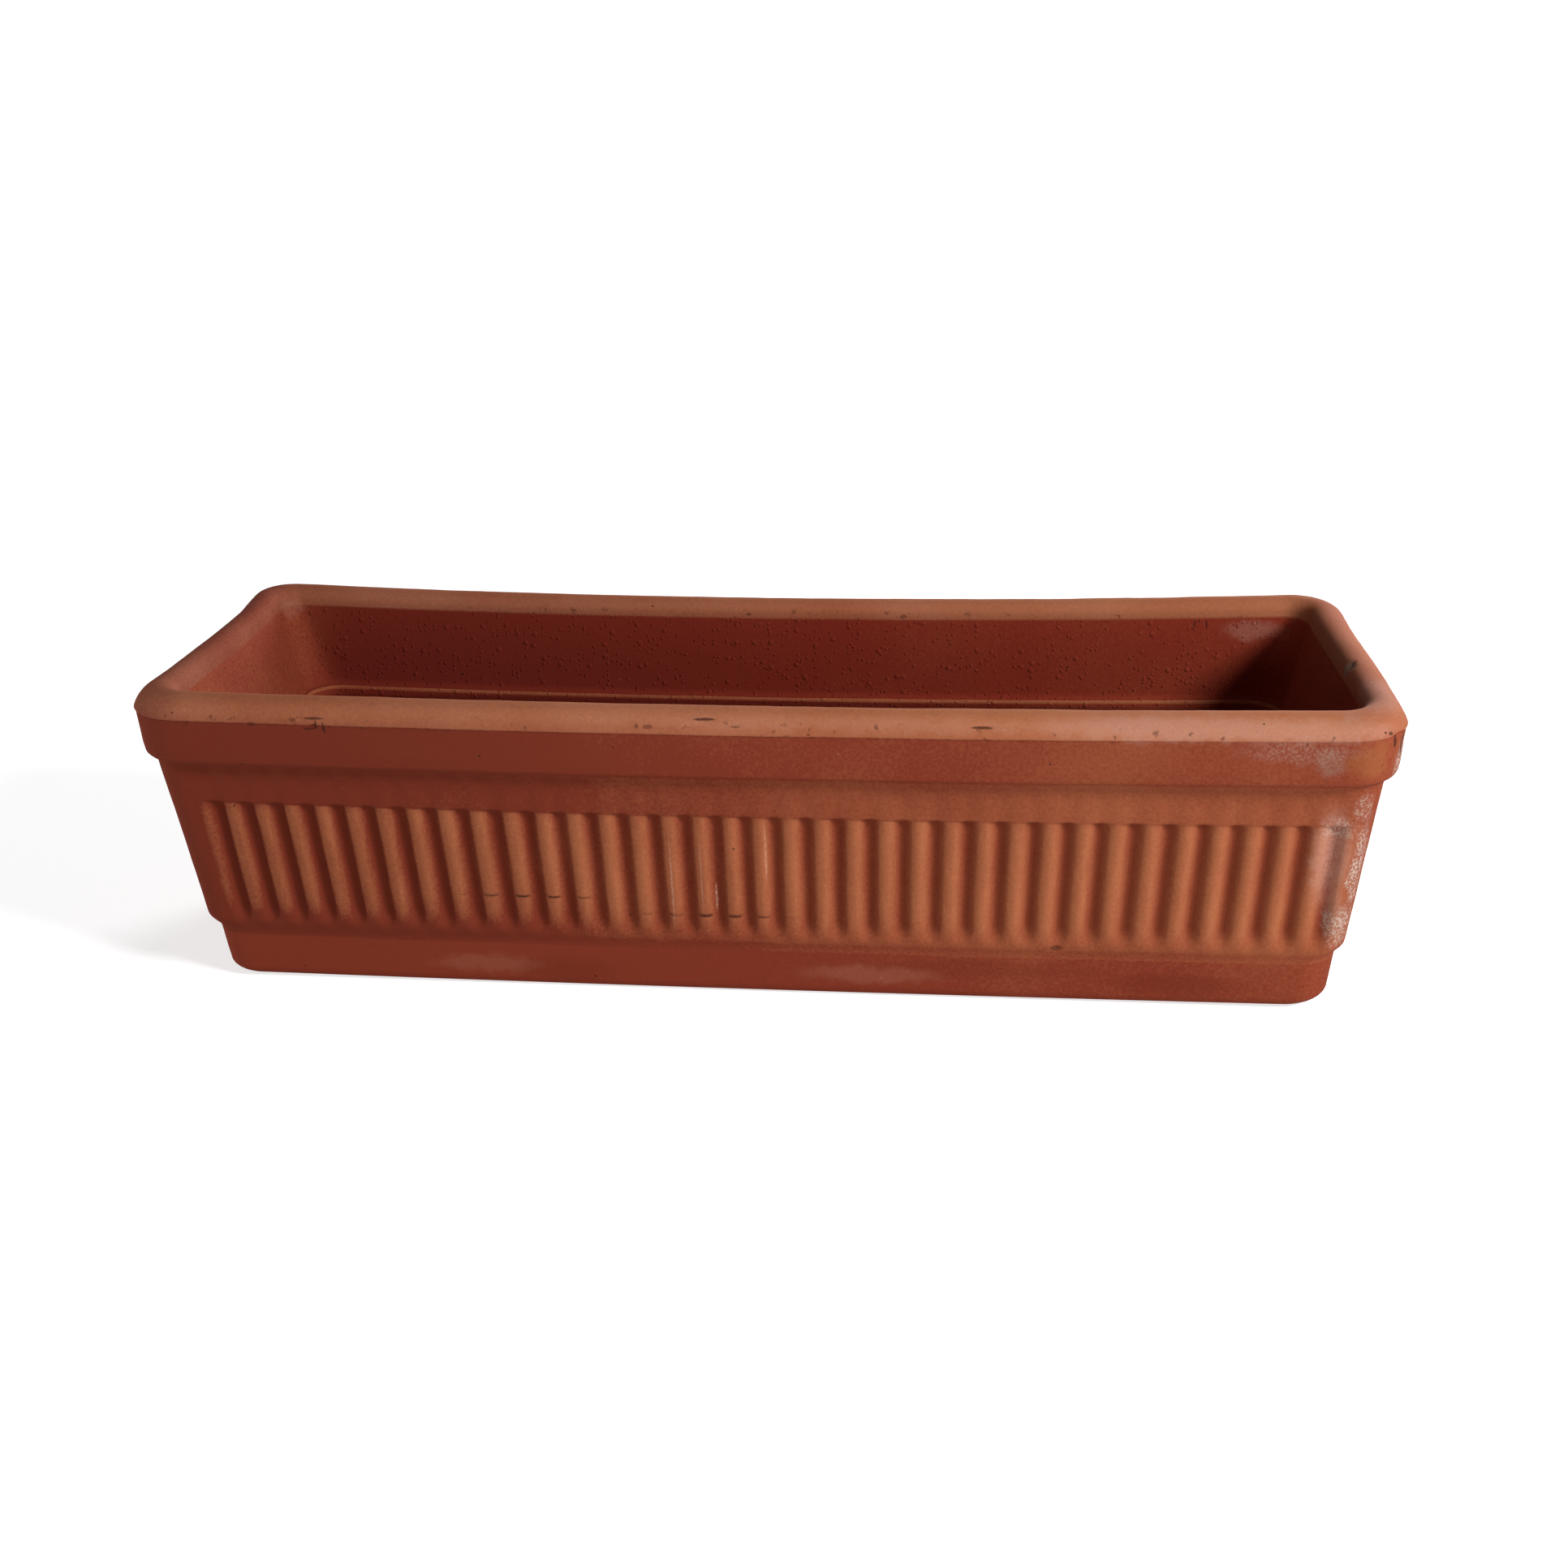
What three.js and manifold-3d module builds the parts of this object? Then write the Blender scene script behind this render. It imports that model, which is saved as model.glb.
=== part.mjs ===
// Fluted terracotta window box: one pressed and fired clay trough with a heavy collar rim,
// a comb of upright flutes on all four faces, a shelf inside and drain holes in the floor.
// Millimetres, +X along the length, +Y towards the back, +Z up, origin at the middle of the foot.
import * as THREE from "three";
import { mergeVertices } from "three/addons/utils/BufferGeometryUtils.js";
import Module from "manifold-3d";

const wasm = await Module();
wasm.setup();

// ---- overall
const overallLength = 600;
const overallDepth = 190;
const overallHeight = 157;
const wallDraft = THREE.MathUtils.degToRad(7);

// ---- collar rim: a rolled top that ends in a sharp edge, then an upright band over the body
const rimTopWidth = 19; // from the outer edge to the start of the inner wall
const rollHeight = 10; // the rolled top, above its sharp outer edge
const rollShare = 0.6; // the part of the rim's width that slopes outwards
const rollStartAngle = 25; // how steeply the roll meets its sharp edge: 0 is upright
const innerRollHeight = 7;
const rollEdgeLip = 0.6; // how far the roll stands over the band
const bandHeight = 24;
const bandDraft = THREE.MathUtils.degToRad(4.5);
const collarStep = 6.2; // how far the band stands out from the body
const bandFootRadius = 3.5;
const rimCornerRadius = 27;
const openingCornerRadius = 14; // at the inner edge of the roll

// ---- body below the collar
const bodyCornerRadius = 16;
const bodyNeckRadius = 2; // the hollow where the body meets the collar
const baseBandHeight = 27;
const baseBandInset = 2.2; // the plain band round the foot lies back from the flute crests
const baseBandRamp = 7; // height over which the crests run out to that band
const baseBandDraft = THREE.MathUtils.degToRad(8);
const footEdgeRadius = 8;

// ---- flutes
const plainBandHeight = 22; // between the collar and the tops of the flutes
const fluteDepth = 3.4;
const fluteSharpness = 1.4; // above 1 the flutes are narrower than the ribs between them
const fluteCount = { long: 36, end: 9 };
const fluteMargin = 16; // from the end of a face to its first flute, at the top
const fluteFan = THREE.MathUtils.degToRad(4); // how fast a comb narrows downwards
const frontFluteShift = 4.4; // the front comb sits a little right of the middle
const fluteSteps = 8; // facets across one flute
const crestSkin = 0.04; // leaves a narrow land on each crest, so flutes stay separate cuts

// ---- inside
const floorThickness = 15;
const upperWall = 13; // wall above the shelf, at the shelf
const shelfBelowRim = 51;
const shelfWidth = 3;
const shelfEdgeRadius = 1;
const shelfCornerRadius = 20;
const endWallLean = 10; // the end walls lean in further than the long ones, down to the shelf
const floorCornerRadius = 18;
const floorFilletRadius = 14;

// ---- drain holes, punched from inside
const drainCount = 3;
const drainSpacing = 170;
const drainTopDiameter = 22;
const drainBottomDiameter = 18;
const drainSides = 24;

// ---- facets
const cornerSteps = 8; // round each corner in plan
const arcSteps = 6; // along each rounded edge of the profile

// Heights of the levels that the outside is made of.
const rollEdgeZ = overallHeight - rollHeight;
const collarFootZ = rollEdgeZ - bandHeight;
const fluteTopZ = collarFootZ - plainBandHeight;
const crestEndZ = baseBandHeight + baseBandRamp;
const shelfZ = overallHeight - shelfBelowRim;

// Insets are measured from the outer edge of the rim, and are the same on all four sides.
const bandFootInset = rollEdgeLip + bandHeight * Math.tan(bandDraft);
const bodyTopInset = bandFootInset + collarStep;

function crestInset(z) {
  return bodyTopInset + (collarFootZ - z) * Math.tan(wallDraft);
}

function baseInset(z) {
  const top = crestInset(baseBandHeight) + baseBandInset;
  return top + (baseBandHeight - z) * Math.tan(baseBandDraft);
}

// The inner wall, above and below the shelf.
const shelfOuterInset = crestInset(shelfZ) + upperWall;
const shelfInnerInset = shelfOuterInset + shelfWidth;

function lowerInnerInset(z) {
  return shelfInnerInset + (shelfZ - z) * Math.tan(wallDraft);
}

// Points of an arc in the plane of inset and height, both ends included.
function arc(inset, z, insetRadius, zRadius, from, to, steps = arcSteps) {
  return Array.from({ length: steps + 1 }, (_, i) => {
    const angle = THREE.MathUtils.degToRad(from + ((to - from) * i) / steps);
    return { inset: inset - insetRadius * Math.cos(angle), z: z + zRadius * Math.sin(angle) };
  });
}

function withCorner(points, radius) {
  return points.map((point) => ({ ...point, radius }));
}

// The corners of the rolled top tighten steadily from its outer edge to its inner one.
function withRollCorner(points) {
  const easing = (rimCornerRadius - openingCornerRadius) / rimTopWidth;
  return points.map((point) => ({ ...point, radius: rimCornerRadius - easing * point.inset }));
}

// The section of the trough from the middle of the foot, up the outside, over the rim,
// down the inside and in to the middle of the floor.
function troughSection() {
  const footInset = baseInset(footEdgeRadius);
  const foot = withCorner(arc(footInset + footEdgeRadius, footEdgeRadius,
    footEdgeRadius, footEdgeRadius, -90, 0), bodyCornerRadius);

  const crests = withCorner([
    { inset: baseInset(baseBandHeight), z: baseBandHeight },
    { inset: crestInset(crestEndZ), z: crestEndZ },
    { inset: crestInset(fluteTopZ), z: fluteTopZ },
    { inset: crestInset(collarFootZ - bodyNeckRadius), z: collarFootZ - bodyNeckRadius },
  ], bodyCornerRadius);

  const collarFoot = [
    { inset: bodyTopInset - bodyNeckRadius / 2, z: collarFootZ, radius: bodyCornerRadius },
    ...withCorner(arc(bandFootInset + bandFootRadius, collarFootZ + bandFootRadius,
      bandFootRadius, bandFootRadius, -80, 0), rimCornerRadius - bandFootInset),
  ];

  const bandTop = [{ inset: rollEdgeLip, z: rollEdgeZ, radius: rimCornerRadius - rollEdgeLip }];
  const rollWidth = rimTopWidth * rollShare;
  const startAngle = THREE.MathUtils.degToRad(rollStartAngle);
  const rollRadiusZ = rollHeight / (1 - Math.sin(startAngle));
  const roll = withRollCorner([
    ...arc(rollWidth, overallHeight - rollRadiusZ, rollWidth / Math.cos(startAngle),
      rollRadiusZ, rollStartAngle, 90),
    ...arc(rollWidth, overallHeight - innerRollHeight,
      rollWidth - rimTopWidth, innerRollHeight, 90, 0).slice(1),
  ]);

  const shelf = withCorner([
    { inset: shelfOuterInset, z: shelfZ },
    ...arc(shelfInnerInset - shelfEdgeRadius, shelfZ - shelfEdgeRadius,
      -shelfEdgeRadius, shelfEdgeRadius, 90, 0, 3),
  ], shelfCornerRadius);

  const filletZ = floorThickness + floorFilletRadius;
  const floor = withCorner(arc(lowerInnerInset(filletZ) + floorFilletRadius, filletZ,
    floorFilletRadius, floorFilletRadius, 0, -90), floorCornerRadius);

  const inside = [...shelf, ...floor].map((point) => ({ ...point, lean: endWallLean }));

  return [...foot, ...crests, ...collarFoot, ...bandTop, ...roll, ...inside];
}

// A rounded rectangle in plan, anticlockwise from above, with the same points on every level.
function ring({ inset, z, radius, lean = 0 }) {
  const halfLength = overallLength / 2 - inset - lean;
  const halfDepth = overallDepth / 2 - inset;
  const points = [];
  for (const [quarter, [sx, sy]] of [[1, 1], [-1, 1], [-1, -1], [1, -1]].entries()) {
    for (let i = 0; i <= cornerSteps; i++) {
      const angle = (Math.PI / 2) * (quarter + i / cornerSteps);
      points.push([
        sx * (halfLength - radius) + radius * Math.cos(angle),
        sy * (halfDepth - radius) + radius * Math.sin(angle),
        z,
      ]);
    }
  }
  return points;
}

// A closed geometry through a stack of rings, with flat ends.
function loft(rings) {
  const count = rings[0].length;
  const positions = rings.flat(2);
  const index = [];
  for (let level = 0; level + 1 < rings.length; level++) {
    for (let i = 0; i < count; i++) {
      const a = level * count + i;
      const b = level * count + ((i + 1) % count);
      index.push(a, b, b + count, a, b + count, a + count);
    }
  }
  const last = (rings.length - 1) * count;
  const capShape = (points) => points.map(([x, y]) => new THREE.Vector2(x, y));
  for (const [a, b, c] of THREE.ShapeUtils.triangulateShape(capShape(rings[0]), [])) {
    index.push(c, b, a);
  }
  for (const [a, b, c] of THREE.ShapeUtils.triangulateShape(capShape(rings.at(-1)), [])) {
    index.push(last + a, last + b, last + c);
  }
  return new THREE.BufferGeometry()
    .setAttribute("position", new THREE.Float32BufferAttribute(positions, 3))
    .setIndex(index);
}

function solid(geometry) {
  const bare = geometry.clone();
  bare.deleteAttribute("normal");
  bare.deleteAttribute("uv");
  const merged = mergeVertices(bare, 1e-4);
  return new wasm.Manifold(new wasm.Mesh({
    numProp: 3,
    vertProperties: merged.attributes.position.array,
    triVerts: new Uint32Array(merged.index.array),
  }));
}

function geometryOf(manifold) {
  const { numProp, numVert, vertProperties, triVerts } = manifold.getMesh();
  const positions = new Float32Array(numVert * 3);
  for (let i = 0; i < numVert; i++) {
    positions.set(vertProperties.subarray(i * numProp, i * numProp + 3), i * 3);
  }
  return new THREE.BufferGeometry()
    .setAttribute("position", new THREE.BufferAttribute(positions, 3))
    .setIndex(new THREE.BufferAttribute(triVerts, 1));
}

// What is scraped off one face to leave its flutes. The face looks along -Y, its flutes fan in
// with the taper, and they run out into the base band.
function fluteComb(faceLength, faceDepth, count, shift) {
  const clear = 10; // how far the comb reaches out past the face
  const levels = [
    { z: baseBandHeight - 6, depth: baseBandInset * 0.8 },
    { z: baseBandHeight + 2, depth: baseBandInset },
    { z: crestEndZ + 5, depth: fluteDepth },
    { z: fluteTopZ, depth: fluteDepth },
  ];
  const topHalf = faceLength / 2 - crestInset(fluteTopZ) - fluteMargin;
  const columns = count * fluteSteps;
  const rings = levels.map(({ z, depth }) => {
    const half = topHalf - (fluteTopZ - z) * Math.tan(fluteFan);
    const face = -(faceDepth / 2 - crestInset(z));
    const points = [];
    for (let i = 0; i <= columns; i++) {
      const x = shift - half + (2 * half * i) / columns;
      const wave = ((1 - Math.cos((2 * Math.PI * i) / fluteSteps)) / 2) ** fluteSharpness;
      points.push([x, face + wave * depth - crestSkin, z]);
    }
    const corner = [shift + half, shift - half].map((x) => [x, face - clear, z]);
    return [...points, ...corner].reverse();
  });
  return loft(rings);
}

// Four combs, one for each face.
function allCombs() {
  const front = solid(fluteComb(overallLength, overallDepth, fluteCount.long, frontFluteShift));
  const back = solid(fluteComb(overallLength, overallDepth, fluteCount.long, 0)).rotate([0, 0, 180]);
  const end = solid(fluteComb(overallDepth, overallLength, fluteCount.end, 0));
  return front.add(back).add(end.rotate([0, 0, 90])).add(end.rotate([0, 0, -90]));
}

function drainHole(x) {
  const past = 1;
  const punch = new THREE.CylinderGeometry(drainTopDiameter / 2, drainBottomDiameter / 2,
    floorThickness + 2 * past, drainSides);
  punch.rotateX(Math.PI / 2);
  punch.translate(x, 0, floorThickness / 2);
  return solid(punch);
}

function trough() {
  let clay = solid(loft(troughSection().map(ring)));
  clay = clay.subtract(allCombs());
  for (let i = 0; i < drainCount; i++) {
    clay = clay.subtract(drainHole((i - (drainCount - 1) / 2) * drainSpacing));
  }
  return geometryOf(clay);
}

const terracotta = new THREE.MeshStandardMaterial({ color: 0xa5583a, roughness: 0.9, metalness: 0 });

const windowBox = new THREE.Group();
const clayTrough = new THREE.Mesh(trough(), terracotta);
clayTrough.name = "clay_trough";
windowBox.add(clayTrough);

export default windowBox;
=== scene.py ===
import math

import bpy
import numpy as np
from mathutils import Matrix, Vector


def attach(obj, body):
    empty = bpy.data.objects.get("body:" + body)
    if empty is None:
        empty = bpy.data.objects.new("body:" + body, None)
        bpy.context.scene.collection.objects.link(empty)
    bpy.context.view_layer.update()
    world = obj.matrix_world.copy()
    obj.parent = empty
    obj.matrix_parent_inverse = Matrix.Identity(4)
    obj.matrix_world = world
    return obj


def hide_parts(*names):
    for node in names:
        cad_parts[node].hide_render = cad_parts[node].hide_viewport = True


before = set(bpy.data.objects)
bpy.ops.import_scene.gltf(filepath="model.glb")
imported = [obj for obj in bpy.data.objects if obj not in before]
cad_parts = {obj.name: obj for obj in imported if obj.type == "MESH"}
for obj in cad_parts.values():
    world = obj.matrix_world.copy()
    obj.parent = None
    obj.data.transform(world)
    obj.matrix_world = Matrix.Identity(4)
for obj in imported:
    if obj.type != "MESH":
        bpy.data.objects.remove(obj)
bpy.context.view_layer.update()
print("frame loaded")

scene = bpy.context.scene
mm = 0.001


# The plain clay body is made of rings of points, stacked along the section of the wall.
# Sizes are in mm and degrees. An inset is measured in from the outer edge of the rim.
clayForm = {
    "length": 600, "depth": 190, "height": 157,
    "wallDraft": 7,
    "rimTopWidth": 19, "rollHeight": 10, "rollShare": 0.6, "rollStart": 25, "innerRollHeight": 7,
    "edgeLip": 0.6, "bandHeight": 24, "bandDraft": 4.5, "collarStep": 6.2, "bandFootRadius": 3.5,
    "rimCorner": 27, "openingCorner": 14, "bodyCorner": 16, "baseCorner": 20,
    "plainBand": 22,
    "baseBandHeight": 27, "baseBandInset": 2.2, "baseBandRamp": 7, "baseBandDraft": 6.5, "footEdge": 7,
    "floorThickness": 15, "upperWall": 13,
    "shelfBelowRim": 51, "shelfWidth": 3, "shelfEdge": 1, "shelfCorner": 20, "endWallLean": 10,
    "floorCorner": 18, "floorFillet": 14,
}

# How many rows of faces each stretch of the section gets.
rowCount = {
    "underside": 7, "footRound": 8, "baseBand": 7, "baseRamp": 7, "flutes": 22, "plainBand": 6,
    "collarRound": 8, "band": 7, "rollOutside": 14, "rollInside": 9,
    "upperInside": 17, "shelfEdge": 4, "lowerInside": 9, "floorRound": 7, "floor": 5,
}
middleStrip = 1.5  # mm each side of the middle, where one long face closes the underside and the floor
cornerShrink = 0.6  # how fast the corners of the underside and the floor shrink towards that strip
leastCorner = 0.5  # mm

# The soft end of the flutes: mm above their tops, and the share of their depth that is left there.
fluteLedge = ((-1.2, 1), (-0.5, 0.9), (-0.05, 0.45), (0.5, 0.2), (1.4, 0.18))
plainBandFlutes = 0.16  # share of the flutes' depth that still shows in the plain band
# The turn from the wall to the collar's foot: mm out from the wall, and mm below the foot.
collarTurn = ((0.1, 1.2), (0.5, 0.4), (1.4, 0))

# How each face's comb of flutes is laid out, and how many columns of faces one flute gets.
combs = {
    "front": {"flutes": 36, "columns": 9, "shift": 4.4, "corners": ("nearLeft", "nearRight")},
    "right": {"flutes": 9, "columns": 6, "shift": 0, "corners": ("nearRight", "farRight")},
    "back": {"flutes": 36, "columns": 4, "shift": 0, "corners": ("farRight", "farLeft")},
    "left": {"flutes": 9, "columns": 6, "shift": 0, "corners": ("farLeft", "nearLeft")},
}
combMargin = 16  # mm from the end of a face to its first flute, at the top
combFan = 4  # degrees, how fast a comb narrows downwards
combFootDrop = 12  # mm below the end of the crests, where a comb stops narrowing
cornerClearance = 4  # mm that a comb keeps at least from the middle of the corner
marginColumns = 7  # columns of faces from a comb's end to the middle of the corner

# The four corners came out of the mould a little unlike: share of the radius at the body and at the rim.
cornerShare = {
    "nearLeft": (0.87, 1.0), "nearRight": (1.0, 1.06), "farRight": (1.0, 0.92), "farLeft": (1.0, 0.78),
}

# Numbers that say which part of the trough a row belongs to, for the clay's colours.
part = {
    "underside": 0, "baseBand": 1, "flutes": 2, "plainBand": 3, "band": 4, "roll": 5, "inside": 6, "floor": 7,
}


def sinDeg(angle):
    return math.sin(math.radians(angle))


def cosDeg(angle):
    return math.cos(math.radians(angle))


def tanDeg(angle):
    return math.tan(math.radians(angle))


def levelHeights(form):
    rollEdge = form["height"] - form["rollHeight"]
    collarFoot = rollEdge - form["bandHeight"]
    return {
        "rollEdge": rollEdge,
        "collarFoot": collarFoot,
        "fluteTop": collarFoot - form["plainBand"],
        "crestEnd": form["baseBandHeight"] + form["baseBandRamp"],
        "shelf": form["height"] - form["shelfBelowRim"],
    }


levels = levelHeights(clayForm)
bandFootInset = clayForm["edgeLip"] + clayForm["bandHeight"] * tanDeg(clayForm["bandDraft"])


def crestInset(z):
    return bandFootInset + clayForm["collarStep"] + (levels["collarFoot"] - z) * tanDeg(clayForm["wallDraft"])


def baseInset(z):
    top = crestInset(clayForm["baseBandHeight"]) + clayForm["baseBandInset"]
    return top + (clayForm["baseBandHeight"] - z) * tanDeg(clayForm["baseBandDraft"])


def steps(start, end, count):
    return [start + (end - start) * i / count for i in range(count + 1)]


# One row of the section: its inset, height, corner radius, part, lean of the ends and how much of a flute
# and of the shelf's edge it shows.
def row(inset, z, radius, name, lean=0.0, flute=0.0, edge=0.0):
    return {"inset": inset, "z": z, "radius": radius, "part": part[name], "lean": lean,
            "flute": flute, "edge": edge}


def arcPoints(inset, z, insetRadius, zRadius, start, end, count):
    return [(inset - insetRadius * cosDeg(a), z + zRadius * sinDeg(a)) for a in steps(start, end, count)]


# The corner of a flat face shrinks as the face nears the middle.
def flatCorner(corner, run):
    return max(leastCorner, corner - run * cornerShrink)


def footRows(form):
    foot, corner = form["footEdge"], form["baseCorner"]
    flatStart = baseInset(foot) + foot
    flat = steps(form["depth"] / 2 - middleStrip, flatStart, rowCount["underside"])[:-1]
    rows = [row(inset, 0, flatCorner(corner, inset - flatStart), "underside") for inset in flat]
    rows += [row(*point, corner, "baseBand")
             for point in arcPoints(flatStart, foot, foot, foot, -90, 0, rowCount["footRound"])]
    rows += [row(baseInset(z), z, corner, "baseBand")
             for z in steps(foot, form["baseBandHeight"], rowCount["baseBand"])[1:-1]]
    return rows


def flutedRows(form):
    corner, baseCorner, top = form["bodyCorner"], form["baseCorner"], levels["fluteTop"]
    rows = []
    for share in steps(0, 1, rowCount["baseRamp"]):  # the base band swells out to the crests in a soft S
        z = form["baseBandHeight"] - 1 + (form["baseBandRamp"] + 2) * share
        ease = share * share * (3 - 2 * share)
        rows.append(row(baseInset(z) * (1 - ease) + crestInset(z) * ease, z,
                        baseCorner * (1 - ease) + corner * ease, "flutes", 0, 1))
    rows += [row(crestInset(z), z, corner, "flutes", 0, 1)
             for z in steps(levels["crestEnd"] + 3.5, top - 2, rowCount["flutes"])]
    rows += [row(crestInset(top + above), top + above, corner, "flutes", 0, share)
             for above, share in fluteLedge]
    rows += [row(crestInset(z), z, corner, "plainBand", 0, plainBandFlutes)
             for z in steps(top + 3, levels["collarFoot"] - 2.4, rowCount["plainBand"])]
    return rows


def collarRows(form):
    foot, rollEdge, footRadius = levels["collarFoot"], levels["rollEdge"], form["bandFootRadius"]
    corner, lip = form["rimCorner"], form["edgeLip"]
    rows = [row(crestInset(foot) - out, foot - below, form["bodyCorner"], "plainBand")
            for out, below in collarTurn]
    rows += [row(*point, corner - bandFootInset, "band")
             for point in arcPoints(bandFootInset + footRadius, foot + footRadius, footRadius, footRadius,
                                    -78, 0, rowCount["collarRound"])]
    for z in steps(foot + footRadius + 2.5, rollEdge - 1.6, rowCount["band"]):
        inset = bandFootInset + (lip - bandFootInset) * (z - foot) / form["bandHeight"]
        rows.append(row(inset, z, corner - inset, "band"))
    rows += [row(lip + 0.05, rollEdge - 0.7, corner, "band"),
             row(lip * 0.55, rollEdge - 0.25, corner, "roll"),
             row(0.04, rollEdge + 0.12, corner, "roll")]
    return rows


# The rolled top, whose corners tighten steadily from its outer edge to its inner one.
def rollRows(form):
    start, width, innerRoll = form["rollStart"], form["rimTopWidth"], form["innerRollHeight"]
    outer = width * form["rollShare"]
    outerRise = form["rollHeight"] / (1 - sinDeg(start))
    points = arcPoints(outer, form["height"] - outerRise, outer / cosDeg(start), outerRise,
                       start + 2.5, 90, rowCount["rollOutside"])
    points += arcPoints(outer, form["height"] - innerRoll, outer - width, innerRoll,
                        90, 0, rowCount["rollInside"])[1:]
    easing = (form["rimCorner"] - form["openingCorner"]) / width
    return [row(*point, form["rimCorner"] - easing * point[0], "roll") for point in points]


def insideRows(form):
    shelf, edge, lean = levels["shelf"], form["shelfEdge"], form["endWallLean"]
    shelfOuter = crestInset(shelf) + form["upperWall"]
    shelfInner = shelfOuter + form["shelfWidth"]
    wallTop, width = form["height"] - form["innerRollHeight"], form["rimTopWidth"]
    opening, shelfCorner, floorCorner = form["openingCorner"], form["shelfCorner"], form["floorCorner"]
    rows = [row(width + (shelfOuter - width) * share, wallTop + (shelf + 0.6 - wallTop) * share,
                opening + (shelfCorner - opening) * share, "inside", lean * share)
            for share in steps(0, 1, rowCount["upperInside"])[1:-1]]
    rows += [row(shelfOuter + 0.15, shelf + 0.1, shelfCorner, "inside", lean),
             row(shelfOuter + 0.8, shelf, shelfCorner, "inside", lean)]
    rows += [row(*point, shelfCorner, "inside", lean, 0, 1)
             for point in arcPoints(shelfInner - edge, shelf - edge, -edge, edge,
                                    90, 0, rowCount["shelfEdge"])]

    fillet = form["floorFillet"]
    filletZ = form["floorThickness"] + fillet
    lowest = shelfInner + (shelf - filletZ) * tanDeg(form["wallDraft"])
    rows += [row(shelfInner + (lowest - shelfInner) * share, shelf - edge + (filletZ - shelf + edge) * share,
                 shelfCorner + (floorCorner - shelfCorner) * share, "inside", lean)
             for share in steps(0, 1, rowCount["lowerInside"])[1:-1]]
    flatStart = lowest + fillet
    rows += [row(*point, floorCorner, "floor", lean)
             for point in arcPoints(flatStart, filletZ, fillet, fillet, 0, -90, rowCount["floorRound"])]
    flat = steps(flatStart, form["depth"] / 2 - middleStrip, rowCount["floor"])[1:]
    rows += [row(inset, form["floorThickness"], flatCorner(floorCorner, inset - flatStart), "floor", lean)
             for inset in flat]
    return rows


# Signed distances along one face, from its middle, for every column of faces.
def columnPlaces(comb, faceLength, z, across, radii):
    startMiddle, endMiddle = (across - radius + radius * math.pi / 4 for radius in radii)
    cornerMiddle = min(startMiddle, endMiddle)
    topHalf = faceLength / 2 - crestInset(levels["fluteTop"]) - combMargin
    height = min(max(z, levels["crestEnd"] - combFootDrop), levels["fluteTop"])
    half = topHalf - (levels["fluteTop"] - height) * tanDeg(combFan)
    half = min(half, cornerMiddle - max(cornerClearance, 0.03 * cornerMiddle))
    shift = comb["shift"] * min(1.0, half / topHalf)
    half = min(half, cornerMiddle - abs(shift) - 1.0)
    count = comb["flutes"] * comb["columns"]
    return (steps(-startMiddle, shift - half, marginColumns)[:-1] + steps(shift - half, shift + half, count)
            + steps(shift + half, endMiddle, marginColumns)[1:-1])


# Where a distance along a face comes out, as a place along it and one out from the trough's middle.
def roundCorner(place, across, out, radii):
    radius = radii[0] if place < 0 else radii[1]
    flat = across - radius
    angle = max(0.0, abs(place) - flat) / radius
    along = math.copysign(min(abs(place), flat) + radius * math.sin(angle), place)
    return along, out - radius * (1 - math.cos(angle))


def plainTrough(form):
    rows = footRows(form) + flutedRows(form) + collarRows(form) + rollRows(form) + insideRows(form)
    points, inward = [], []
    numbers = {"along": [], "combHalf": [], "combCount": [], "fluteShare": [], "part": [], "shelfEdge": []}
    for level in rows:
        halfX = form["length"] / 2 - level["inset"] - level["lean"]
        halfY = form["depth"] / 2 - level["inset"]
        longFace, endFace = (halfX, halfY, form["length"]), (halfY, halfX, form["depth"])
        for turn, comb in enumerate(combs.values()):
            across, out, faceLength = (longFace, endFace)[turn % 2]
            cosTurn, sinTurn = (1, 0, -1, 0)[turn], (0, 1, 0, -1)[turn]
            shares = [cornerShare[corner][level["part"] >= part["band"]] for corner in comb["corners"]]
            radii = [min(level["radius"] * share, halfX - 0.3, halfY - 0.3) for share in shares]
            for place in columnPlaces(comb, faceLength, level["z"], across, radii):
                s, d = roundCorner(place, across, out, radii)
                x, y = s * cosTurn + d * sinTurn, s * sinTurn - d * cosTurn
                points.append((x * mm, y * mm, level["z"] * mm))
                inward.append((-sinTurn, cosTurn, 0))
                numbers["along"].append(place - comb["shift"])
                numbers["combHalf"].append(faceLength / 2 - crestInset(levels["fluteTop"]) - combMargin)
                numbers["combCount"].append(comb["flutes"])
                numbers["fluteShare"].append(level["flute"])
                numbers["part"].append(level["part"])
                numbers["shelfEdge"].append(level["edge"])
    perRow = len(points) // len(rows)
    faces = []
    for start in range(0, len(points) - perRow, perRow):
        for i in range(perRow):
            a, b = start + i, start + (i + 1) % perRow
            faces.append((a, b, b + perRow, a + perRow))
    faces.append(tuple(reversed(range(perRow))))
    faces.append(tuple(range(len(points) - perRow, len(points))))
    mesh = bpy.data.meshes.new("plain_trough")
    mesh.from_pydata(points, [], faces)
    for name, values in numbers.items():
        mesh.attributes.new(name, "FLOAT", "POINT").data.foreach_set("value", values)
    mesh.attributes.new("inward", "FLOAT_VECTOR", "POINT").data.foreach_set("vector", np.ravel(inward))
    mesh.update()
    print("plain trough:", len(rows), "rows of", perRow, "points")
    return mesh


# Small helpers for node trees.
def feed(tree, socket, value):
    if isinstance(value, bpy.types.NodeSocket):
        tree.links.new(value, socket)
    elif value is not None:
        socket.default_value = value


def addNode(tree, kind, inputs=None, **settings):
    node = tree.nodes.new(kind)
    for name, value in settings.items():
        setattr(node, name, value)
    for key, value in (inputs or {}).items():
        feed(tree, node.inputs[key], value)
    return node


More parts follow.
